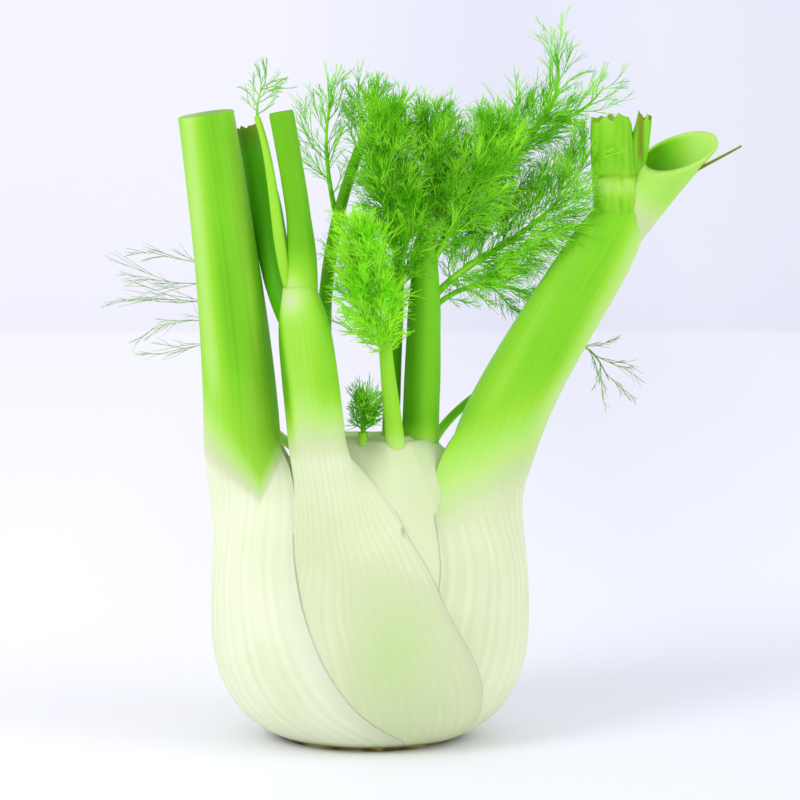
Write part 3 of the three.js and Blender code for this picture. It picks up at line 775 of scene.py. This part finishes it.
def leaf_shape(index, settings):
    """Builds one leaf: a ribbed sheath on the bulb that draws together into its stalk."""
    leaf = LEAVES[index]
    outer = LEAVES[:index]
    top = leaf["stalk"][3][2]
    middle = math.radians((along(leaf["from"], top) + along(leaf["to"], top)) / 2)
    rib_height = settings.rib_height / MM
    ribs = settings.rib_count
    rows = {}

    def row_at(z):
        key = round(z, 4)
        if key not in rows:
            t = share_at_height(leaf["stalk"], z)
            way = bezier_way(leaf["stalk"], t)
            outward = Vector((math.sin(middle), -math.cos(middle), 0))
            outward = (outward - way * outward.dot(way)).normalized()
            rows[key] = (
                softly_along(leaf["from"], z),
                softly_along(leaf["to"], z),
                bezier(leaf["stalk"], t),
                outward,
                way.cross(outward),
                softly_along(leaf["across"], z),
                softly_along(leaf["deep"], z),
            )
        return rows[key]

    def place(u, v):
        body = min(1, v / (1 - LEAF_CAP))
        over = max(0, (v - 1 + LEAF_CAP) / LEAF_CAP)
        outside = u <= OUTER_SHARE
        w = 2 * u / OUTER_SHARE - 1 if outside else 1 - 2 * (u - OUTER_SHARE) / (1 - OUTER_SHARE)
        wing = abs(w)
        z = mix(SHEATH_BASE, top, body**1.1)
        start, end, centre, outward, across, half_across, half_deep = row_at(z)
        turn = mix(start, end, (w + 1) / 2)
        wobble = SURFACE_WOBBLE * noise(Vector((w * 3, z * 0.03, index * 7)))
        wander = RIB_WANDER * noise(Vector((w * 4, z * 0.012, index * 5 + 2)))
        strength = 0.7 + 0.6 * noise(Vector((w * 6, z * 0.03, index * 3 + 1)))
        phase = math.pi * ribs * w
        pleat = 0.6 * math.cos(phase + wander) + 0.4 * math.cos(1.43 * phase - 1.3 * wander)
        drawn = smoothstep(z, 50 + 20 * wing**2, THROAT - 1 + 5 * wing)
        rib = rib_height * strength * pleat * (1 - wing**6) * (1 - 0.6 * drawn)
        surface = buried_by(outer, turn, z) + shoulder(z) * wing**1.6
        thickness = leaf["thick"] * (1 - wing**3) + EDGE_THICKNESS * math.sqrt(max(0, 1 - wing**10))
        inward = surface - rib - wobble if outside else surface + thickness
        sheath = on_bulb(turn, z, inward)
        angle = math.radians(w * MARGINS_MEET_AT if outside else 180 - w * (180 - MARGINS_MEET_AT))
        bulge = rib if outside else 0
        shrink = 1 - over**1.4
        stalk = centre + across * (half_across + bulge) * math.sin(angle) * shrink
        stalk += outward * (half_deep + bulge) * math.cos(angle) * shrink
        point = sheath.lerp(stalk, drawn)
        point.z -= LEAF_CUT_DEPTH * math.sin(over * math.pi / 2)
        point.z += CUT_TILT * (point.y - centre.y) * smoothstep(body, 0.97, 1)
        vein = 0.024 * strength * pleat * outside
        base = 0.75 * (1 - smoothstep(z, SHEATH_BASE, SHEATH_BASE + DRY_FOOT))
        # Painted shade: an olive-brown line along the front stalk's left edge, drawn through the dry
        # attribute.
        painted_edge_shade = 0.0
        if leaf["name"] == "front_leaf":
            inside = point.x - edge_at(FRONT_STALK_EDGE, z)
            painted_edge_shade = 0.22 * (1 - smoothstep(inside, 0.2, 2.4)) * smoothstep(z, 86, 100)
        dry = max(0.4 * smoothstep(over, 0.05, 0.2), base, scar(point), painted_edge_shade)
        return point, greenness(leaf["name"], point) + vein, dry

    return loft(leaf["name"] + "_skin", LEAF_SIDES, LEAF_RINGS, place)


class FENNEL_OT_leaves(bpy.types.Operator):
    """Builds the four leaves, each a ribbed sheath with its stalk"""

    bl_idname = "fennel.leaves"
    bl_label = "Leaves"

    def execute(self, context):
        settings = context.scene.fennel
        material = leaf_material("leaf_skin", settings)
        for index, leaf in enumerate(LEAVES):
            finish_piece(leaf_shape(index, settings), leaf["name"], material)
        return {"FINISHED"}


class FENNEL_OT_cut_stems(bpy.types.Operator):
    """Builds the fork of the front leaf and the stubs of the right leaf"""

    bl_idname = "fennel.cut_stems"
    bl_label = "Cut stems"

    def execute(self, context):
        settings = context.scene.fennel
        material = leaf_material("cut_stem_skin", settings, streak_scale=(30, 2, 1))
        fork = [
            tube("main_stem", MAIN_STEM, MAIN_STEM_RADII, main_stem_shade, ribs=8, dry_top=0.3),
            tube("petiole", PETIOLE, PETIOLE_RADII, petiole_shade, ribs=8, dry_top=0.9, ragged=0.8),
        ]
        finish_piece(join(fork, "front_fork"), "front_leaf", material)
        stubs = [
            tube("stub", STUB, STUB_RADII, stub_shade, ribs=11, ragged=2.6, dry_top=0.5),
            tube("spur", SPUR, SPUR_RADII, stub_shade, ribs=5, ragged=1.5, dry_top=0.9),
            tube("strand", STRAND, STRAND_RADII, lambda p: (0.9, 0.75), sides=10, ribs=0, dry_top=1),
            scoop_shape(),
        ]
        finish_piece(join(stubs, "right_stubs"), "right_leaf", material)
        return {"FINISHED"}


def main_stem_shade(point):
    """A painted highlight, paler on the left of the node, and a fresh green above it."""
    node = 0.3 * bell(point.z, NODE_HEIGHT + 3, 5) * bell(point.x, -23, 3.4)
    return mix(0.6, 0.84, smoothstep(point.z, NODE_HEIGHT, NODE_HEIGHT + 18)) - node, 0


def petiole_shade(point):
    """Painted the darkest green, its own green with painted shade for its place behind the left stalk, and
    dry at the very top.
    """
    return 1.0, 0.5 * smoothstep(point.z, 175, 183)


def stub_shade(point):
    """Green, with a brown line where the stub grows out of the node, and dry on its torn right side."""
    line = 0.4 * bell(point.z, STUB_NODE_HEIGHT, 0.7) * (point.y < 0)
    torn = 0.7 * smoothstep(point.x, 78.6, 79.8) * (1 - smoothstep(point.x, 80.6, 81.6))
    streak = 0.16 * noise(Vector((point.x * 0.9, point.y * 0.5, point.z * 0.06)))
    node = 0.26 * bell(point.z, STUB_NODE_HEIGHT - 3, 3)
    dull = 0.3 * max(0, noise(Vector((point.x * 1.1 + 7, point.y * 0.6, point.z * 0.05))))
    return 0.74 + streak - node, max(line, dull, torn * smoothstep(point.z, 171, 177))


def scoop_shape():
    """Builds the sheath cut on the slant: its outer wall up to the rim, and back down inside."""

    def wall(t, a, inset):
        centre, _, side, other = frame_on(SCOOP, t)
        radius = max(0.2, mix(*SCOOP_RADII, t) - inset)
        return centre + (side * math.cos(a) + other * math.sin(a)) * radius

    rims = {}

    def rim(a, inset):
        key = (round(a, 5), inset)
        if key not in rims:
            low, high = 0.2, 1.0
            for _ in range(24):
                middle = (low + high) / 2
                above = (wall(middle, a, inset) - SCOOP_CUT_AT).dot(SCOOP_CUT_FACING) > 0
                low, high = (low, middle) if above else (middle, high)
            rims[key] = low
        return rims[key]

    def place(u, v):
        a = 2 * math.pi * u
        if v < 0.5:
            t = rim(a, 0) * (v / 0.5)
            rib = 0.1 * math.cos(14 * a)
            return wall(t, a, -rib), mix(0.2, 0.5, smoothstep(t, 0.22, 0.5)), 0
        back = (v - 0.5) / 0.5
        t = mix(rim(a, SCOOP_WALL), SCOOP_FLOOR, back**0.8)
        inset = SCOOP_WALL + max(0, back - 0.6) * 16
        point = wall(t, a, inset)
        # Painted shade and light inside the scoop: darker green on its left, paler on its right.
        shaded = mix(0.88, 0.46, smoothstep(point.x, 85, 99))
        return point, mix(0.42, shaded, smoothstep(back, 0.0, 0.08)), 0

    return loft("scoop", SCOOP_SIDES, SCOOP_RINGS, place)


class FENNEL_OT_heart(bpy.types.Operator):
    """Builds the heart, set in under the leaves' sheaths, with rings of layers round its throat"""

    bl_idname = "fennel.heart"
    bl_label = "Heart"

    def execute(self, context):
        settings = context.scene.fennel

        def place(u, v):
            rim = 0.8
            turn = 360 * u
            height = mix(PLATE_TOP + 0.4, THROAT, min(1, v / rim))
            inward = buried_by(LEAVES, turn, height) + shoulder(height)
            edge = on_bulb(turn, height, inward)
            over = max(0, (v - rim) / (1 - rim))
            layers = 0.7 * math.sin(over * 22 + math.radians(turn) * 2) * min(1, over * 4)
            height += 1.5 * math.sin(2 * over) - 3 * over**2 + layers
            share = 0 if v == 0 else 1 - over
            point = Vector((edge.x * share, edge.y * share, height))
            ribs = 0.05 * math.cos(math.radians(turn) * 60 + 2 * noise(point * 0.1)) * (1 - over)
            point += Vector((math.sin(math.radians(turn)), -math.cos(math.radians(turn)), 0)) * ribs
            return point, 0.1 + 0.14 * over, scar(point)

        piece = loft("heart_skin", HEART_SIDES, HEART_RINGS, place)
        material = leaf_material("heart_skin", settings, streak_scale=(60, 3, 1))
        finish_piece(piece, "heart", material)
        return {"FINISHED"}


class FENNEL_OT_root_plate(bpy.types.Operator):
    """Builds the root plate, the flat-cut crown that the bulb stands on"""

    bl_idname = "fennel.root_plate"
    bl_label = "Root plate"

    def execute(self, context):
        def place(u, v):
            a = 2 * math.pi * u
            wave = 1 + 0.018 * math.sin(5 * a) + 0.012 * math.sin(11 * a + 1)
            rise = smoothstep(v, 0.3, 0.7)
            reach = PLATE_RADIUS * wave * mix(1, 1.1, rise)
            reach *= min(1, v / 0.3) if v < 0.3 else min(1, (1 - v) / 0.3)
            height = PLATE_TOP * rise
            return Vector((math.sin(a) * reach, -math.cos(a) * reach * PLATE_DEPTH_RATIO, height)), 0, 0

        piece = loft("root_plate_cut", PLATE_SIDES, PLATE_RINGS, place)
        finish_piece(piece, "root_plate", plate_material())
        return {"FINISHED"}


# How green each stalk gets
STALK_GREENS = {
    "young_leafy_stem": 0.66,
    "centre_leafy_stem": 0.8,
    "shaded_leafy_stem": 1.0,
    "rear_leafy_stem": 0.9,
    "tip_spray": 0.62,
}


def stalk_shade(name, point):
    """Pale where a stalk leaves the heart, greener further up and on its shaded left side."""
    top = STALK_GREENS.get(name, 0.8)
    shaded = 0.12 * (1 - smoothstep(point.x, 11, 17)) if name == "centre_leafy_stem" else 0
    return 0.2 + (top + shaded - 0.2) * smoothstep(point.z, 84, 98), 0


class FENNEL_OT_leafy_stalks(bpy.types.Operator):
    """Builds the stalks that bear the fronds"""

    bl_idname = "fennel.leafy_stalks"
    bl_label = "Leafy stalks"

    def execute(self, context):
        settings = context.scene.fennel
        material = leaf_material("young_stalk_skin", settings, streak_scale=(24, 2, 1))
        for leafy in LEAFY_STEMS:
            name = leafy["name"]
            shade = partial(stalk_shade, name)
            piece = tube(name + "_stalk", leafy["stalk"], leafy["radius"], shade, dry_top=0)
            finish_piece(piece, name, material)
        return {"FINISHED"}


def pinnae_of(frond):
    """The pinnae of a frond, drawn in order from the frond's own seed."""
    draw = dice(frond["seed"])
    count = round(frond["pinnae"] * frond["crowd"])
    made = []
    for i in range(count):
        share = (i + 0.5) / count
        t = mix(0.12, 0.98, share)
        way = bezier_way(frond["rachis"], t)
        spin = i * GOLDEN_ANGLE + 30 * (next(draw) - 0.5)
        in_plane = (180 if frond.get("one_sided") else (i % 2) * 180) + 60 * (next(draw) - 0.5)
        turn = in_plane if frond["flat"] > 0.5 else mix(spin, in_plane, frond["flat"])
        side = (Vector((1, 0, 0)) - way * way.x).normalized()
        side.rotate(Quaternion(way, math.radians(turn)))
        fan = math.radians(frond["fan"] * (1.15 - 0.5 * share))
        heading = way * math.cos(fan) + side * math.sin(fan)
        taper = math.sin(math.pi * (0.28 + 0.5 * share))
        length = frond["length"] * taper * (0.8 + 0.3 * next(draw))
        start = bezier(frond["rachis"], t)
        end = start + heading * length * 0.72 + Vector(frond["lean"]) * length * 0.5
        made.append((start, end, length))
    return made


def sideways(way, draw):
    """A direction square to another, turned at random."""
    side = way.orthogonal().normalized()
    side.rotate(Quaternion(way, 2 * math.pi * next(draw)))
    return side


def bent(start, way, length, curl, draw, steps=3):
    """Points of a thread that curls a little on its way."""
    side = sideways(way, draw)
    points = [start]
    for k in range(1, steps + 1):
        t = k / steps
        points.append(start + way * length * t + side * curl * length * t * t)
    return points


def point_on(line, share):
    """The point and the way at a share along a line of points."""
    place = share * (len(line) - 1)
    low = min(len(line) - 2, int(place))
    return line[low].lerp(line[low + 1], place - low), (line[low + 1] - line[low]).normalized()


def stalk_posts():
    """Points along the stalks beside the fronds, each with the radius that threads keep out of."""
    lines = [(leaf["stalk"], [leaf["across"][-2][1]] * 2) for leaf in LEAVES[:3]]
    lines += [(STUB, STUB_RADII), (SCOOP, SCOOP_RADII)]
    lines += [(MAIN_STEM, MAIN_STEM_RADII[1:]), (PETIOLE, PETIOLE_RADII)]
    steps = 24
    shares = [k / steps for k in range(steps + 1)]
    return [(bezier(line, t), through(radii, t)) for line, radii in lines for t in shares]


def is_clear(line, posts):
    """Whether the outer half of a line of points keeps out of the stalks."""
    outer = line[len(line) // 2 :]
    return all((point - centre).length > radius for point in outer for centre, radius in posts)


def pinna_threads(start, end, length, frond, radius, draw, posts):
    """A pinna's spine, its pinnules, and the forked threads that each of them ends in."""
    loose = min(0.8, 0.3 + 0.6 * frond["fullness"])
    bow = sideways((end - start).normalized(), draw) * (end - start).length * BOW
    spine = [start.lerp(end, k / 5) + bow * math.sin(math.pi * k / 5) for k in range(6)]
    threads = [(spine, radius * 1.6, radius * 0.8)]
    pinnules = max(4, round(length * frond["fullness"]))
    for k in range(pinnules):
        share = (k + 0.4 + 0.5 * next(draw)) / pinnules
        root, ahead = point_on(spine, share)
        heading = (ahead + sideways(ahead, draw) * mix(loose, 0.25, share)).normalized()
        size = mix(0.62, 0.42, share) * max(9, length) * (0.6 + 0.5 * next(draw))
        size *= LONG_PINNULE_SIZE if next(draw) > 1 - LONG_PINNULES else 1
        curl = CURL * (next(draw) - 0.4)
        branch = bent(root, heading, size, curl, draw)
        if not is_clear(branch, posts):
            continue
        threads.append((branch, radius, radius * 0.45))
        for fork in range(FORKS):
            base, onward = point_on(branch, 0.15 + 0.22 * fork + 0.14 * next(draw))
            aside = sideways(onward, draw) * (0.3 + 0.4 * next(draw)) * (loose + 0.2)
            turn = (onward + aside).normalized()
            reach = size * (0.74 - 0.16 * fork)
            thread = bent(base, turn, reach, curl, draw, 2)
            if is_clear(thread, posts):
                threads.append((thread, radius * 0.9, radius * 0.4))
    return threads


def frond_threads(frond, radius):
    """The rachis of a frond and the threads of all its pinnae, each as points with two radii."""
    draw = dice(frond["seed"] * 977 + 5)
    rachis = [bezier(frond["rachis"], k / 14) for k in range(15)]
    threads = [(rachis, frond["radius"] * 0.8, frond["radius"] * 0.25)]
    fine = radius * min(1, 0.6 + 0.5 * frond["fullness"])
    reach = frond["length"] * 2
    near = [post for post in stalk_posts() if min((post[0] - point).length for point in rachis) < reach]
    for start, end, length in pinnae_of(frond):
        threads += pinna_threads(start, end, length, frond, fine, draw, near)
    return threads


def thread_piece(name, threads):
    """Bevels the threads as one curve and makes it a mesh."""
    curve = bpy.data.curves.new(name + "_lines", "CURVE")
    curve.dimensions = "3D"
    curve.bevel_depth = MM
    curve.bevel_resolution = 0
    curve.use_fill_caps = True
    for points, start_radius, end_radius in threads:
        line = curve.splines.new("POLY")
        line.points.add(len(points) - 1)
        last = len(points) - 1
        for k, point in enumerate(points):
            line.points[k].co = (*(point * MM), 1)
            line.points[k].radius = mix(start_radius, end_radius, k / last)
    source = bpy.data.objects.new(name + "_lines", curve)
    bpy.context.scene.collection.objects.link(source)
    bpy.context.view_layer.update()
    mesh = bpy.data.meshes.new_from_object(source.evaluated_get(bpy.context.evaluated_depsgraph_get()))
    mesh.name = name
    bpy.data.objects.remove(source)
    bpy.data.curves.remove(curve)
    mesh.shade_smooth()
    piece = bpy.data.objects.new(name, mesh)
    bpy.context.scene.collection.objects.link(piece)
    return piece


class FENNEL_OT_fronds(bpy.types.Operator):
    """Builds the feathery fronds out of fine, forked threads"""

    bl_idname = "fennel.fronds"
    bl_label = "Fronds"

    def execute(self, context):
        settings = context.scene.fennel
        dark, bright = list(settings.frond_dark) + [1], list(settings.frond_bright) + [1]
        finishes = {
            "frond": thread_material("frond_threads", dark, bright),
            "young_frond": thread_material("young_frond_threads", colour("#8cf20e"), colour("#beff44")),
            "spray": thread_material("spray_threads", colour("#739a3c"), colour("#a4c870")),
            "tip_spray": thread_material("tip_threads", colour("#6cbe1c"), colour("#9ee060")),
        }
        radius = settings.thread_radius / MM
        for leafy in LEAFY_STEMS:
            finish = leafy["finish"]
            for place, frond in enumerate(leafy["fronds"], start=1):
                name = f"{leafy['name']}_frond_{place}"
                piece = thread_piece(name, frond_threads(frond, radius))
                finish_piece(piece, leafy["name"], finishes.get(leafy["name"], finishes[finish]))
        return {"FINISHED"}


# The stage, in metres: the paper sweep and its tints of painted light and shade, the air, the two soft
# lights and the camera
SWEEP_HALF_WIDTH = 6
SWEEP_FRONT = -2
SWEEP_LENGTH = 7
SWEEP_FLAT = 3.6
SWEEP_BEND = 1.4
SWEEP_RADIUS = 0.9
# The paper's tints are painted light and shade: darker near the front to even out the lamps, white further
# back, bluer on the wall, and greyer to the right as a painted soft shadow.
SWEEP_TINTS = (
    ("Y", "A", (-0.5, 2.7), {0.2: "#f4f4f6", 0.64: "#ffffff", 0.66: "#f8f8fc"}),
    ("X", "B", (-0.6, 0.6), {0.38: "#ffffff", 0.6: "#f2f3f9", 0.76: "#f8f9fc", 0.92: "#f4f5f9"}),
)
SKY_TINT = "#f8f8ff"
SKY_STRENGTH = 0.92
LIGHTS_TARGET = Vector((0, 0, 0.1))
KEY_AT = Vector((-1.2, -1.0, 1.2))
KEY_SIZE = 0.9
KEY_POWER = 13
FILL_AT = Vector((1.3, -0.5, 0.7))
FILL_SIZE = 1.1
FILL_POWER = 7
CAMERA_LENS = 112.5
CAMERA_TARGET = Vector((0.009, 0, 0.1025))
CAMERA_DISTANCE = 0.75
CAMERA_RISE = 6


def looking_at(place, target):
    """The placing of a lamp or camera that looks from a place at a target."""
    turn = (target - place).to_track_quat("-Z", "Y")
    return Matrix.Translation(place) @ turn.to_matrix().to_4x4()


def area_light(name, place, size, power):
    """A soft round light that faces the bulb."""
    lamp = bpy.data.lights.new(name, "AREA")
    lamp.shape = "DISK"
    lamp.size = size
    lamp.energy = power
    holder = bpy.data.objects.new(name, lamp)
    holder.matrix_world = looking_at(place, LIGHTS_TARGET)
    bpy.context.scene.collection.objects.link(holder)


def sweep_mesh():
    """The paper: a flat floor that bends up into a wall behind the bulb."""
    bm = bmesh.new()
    bmesh.ops.create_grid(bm, x_segments=2, y_segments=60, size=1)
    for vert in bm.verts:
        run = (vert.co.y + 1) / 2 * SWEEP_LENGTH
        bend = min(max(run - SWEEP_FLAT, 0), SWEEP_BEND) / SWEEP_BEND * math.pi / 2
        rise = max(run - SWEEP_FLAT - SWEEP_BEND, 0)
        y = SWEEP_FRONT + min(run, SWEEP_FLAT) + SWEEP_RADIUS * math.sin(bend)
        z = SWEEP_RADIUS * (1 - math.cos(bend)) + rise
        vert.co = Vector((vert.co.x * SWEEP_HALF_WIDTH, y, z))
    bmesh.ops.recalc_face_normals(bm, faces=bm.faces)
    for face in bm.faces:
        face.smooth = True
    mesh = bpy.data.meshes.new("sweep")
    bm.to_mesh(mesh)
    bm.free()
    return mesh


def sweep_material():
    """Pale paper, painted darker near the front to even out the lamps, bluer to the far end, and greyer to
    the right as a painted soft shadow.
    """
    material, tree, shader = new_material("sweep_paper")
    coordinates = add(tree, "ShaderNodeTexCoord")
    axes = add(tree, "ShaderNodeSeparateXYZ")
    link(coordinates, "Object", axes, "Vector")
    tinted = add(tree, "ShaderNodeMix", data_type="RGBA", blend_type="MULTIPLY")
    put(tinted, {"Factor": 1.0})
    for axis, side, (low, high), tints in SWEEP_TINTS:
        shades = ramp(tree, [(place, colour(tint)) for place, tint in tints.items()])
        reach = add(tree, "ShaderNodeMapRange")
        put(reach, {"From Min": low, "From Max": high})
        link(axes, axis, reach, "Value")
        link(reach, "Result", shades, "Fac")
        link(shades, "Color", tinted, side)
    link(tinted, "Result", shader, "Base Color")
    put(shader, {"Roughness": 0.9, "Specular IOR Level": 0.1})
    return material


class FENNEL_OT_stage(bpy.types.Operator):
    """Sets up the pale sweep, the soft lights and the camera"""

    bl_idname = "fennel.stage"
    bl_label = "Stage"

    def execute(self, context):
        scene = context.scene
        sweep = bpy.data.objects.new("sweep", sweep_mesh())
        scene.collection.objects.link(sweep)
        sweep.data.materials.append(sweep_material())

        world = bpy.data.worlds.new("studio_air")
        world.use_nodes = True
        sky = world.node_tree.nodes["Background"]
        put(sky, {"Color": colour(SKY_TINT), "Strength": SKY_STRENGTH})
        scene.world = world
        scene.view_settings.view_transform = "Standard"

        area_light("key", KEY_AT, KEY_SIZE, KEY_POWER)
        area_light("fill", FILL_AT, FILL_SIZE, FILL_POWER)

        camera = bpy.data.cameras.new("camera")
        camera.lens = CAMERA_LENS
        camera.clip_start = 0.01
        holder = bpy.data.objects.new("camera", camera)
        rise = math.radians(CAMERA_RISE)
        place = CAMERA_TARGET + Vector((0, -math.cos(rise), math.sin(rise))) * CAMERA_DISTANCE
        holder.matrix_world = looking_at(place, CAMERA_TARGET)
        scene.collection.objects.link(holder)
        scene.camera = holder
        return {"FINISHED"}


class FENNEL_PT_panel(bpy.types.Panel):
    """Lists the steps of building the bulb"""

    bl_idname = "FENNEL_PT_panel"
    bl_label = "Fennel bulb"
    bl_space_type = "VIEW_3D"
    bl_region_type = "UI"
    bl_category = "Fennel"

    def draw(self, context):
        settings = context.scene.fennel
        for key in settings.__annotations__:
            self.layout.prop(settings, key)
        for step in STEPS:
            self.layout.operator(step.bl_idname)


STEPS = (
    FENNEL_OT_root_plate,
    FENNEL_OT_heart,
    FENNEL_OT_leaves,
    FENNEL_OT_cut_stems,
    FENNEL_OT_leafy_stalks,
    FENNEL_OT_fronds,
    FENNEL_OT_stage,
)


def register():
    for kind in (FennelSettings, *STEPS, FENNEL_PT_panel):
        bpy.utils.register_class(kind)
    bpy.types.Scene.fennel = bpy.props.PointerProperty(type=FennelSettings)


def unregister():
    del bpy.types.Scene.fennel
    for kind in (FENNEL_PT_panel, *reversed(STEPS), FennelSettings):
        bpy.utils.unregister_class(kind)


def main():
    register()
    bpy.ops.fennel.root_plate()
    bpy.ops.fennel.heart()
    bpy.ops.fennel.leaves()
    bpy.ops.fennel.cut_stems()
    bpy.ops.fennel.leafy_stalks()
    bpy.ops.fennel.fronds()
    bpy.ops.fennel.stage()


if __name__ == "__main__":
    main()
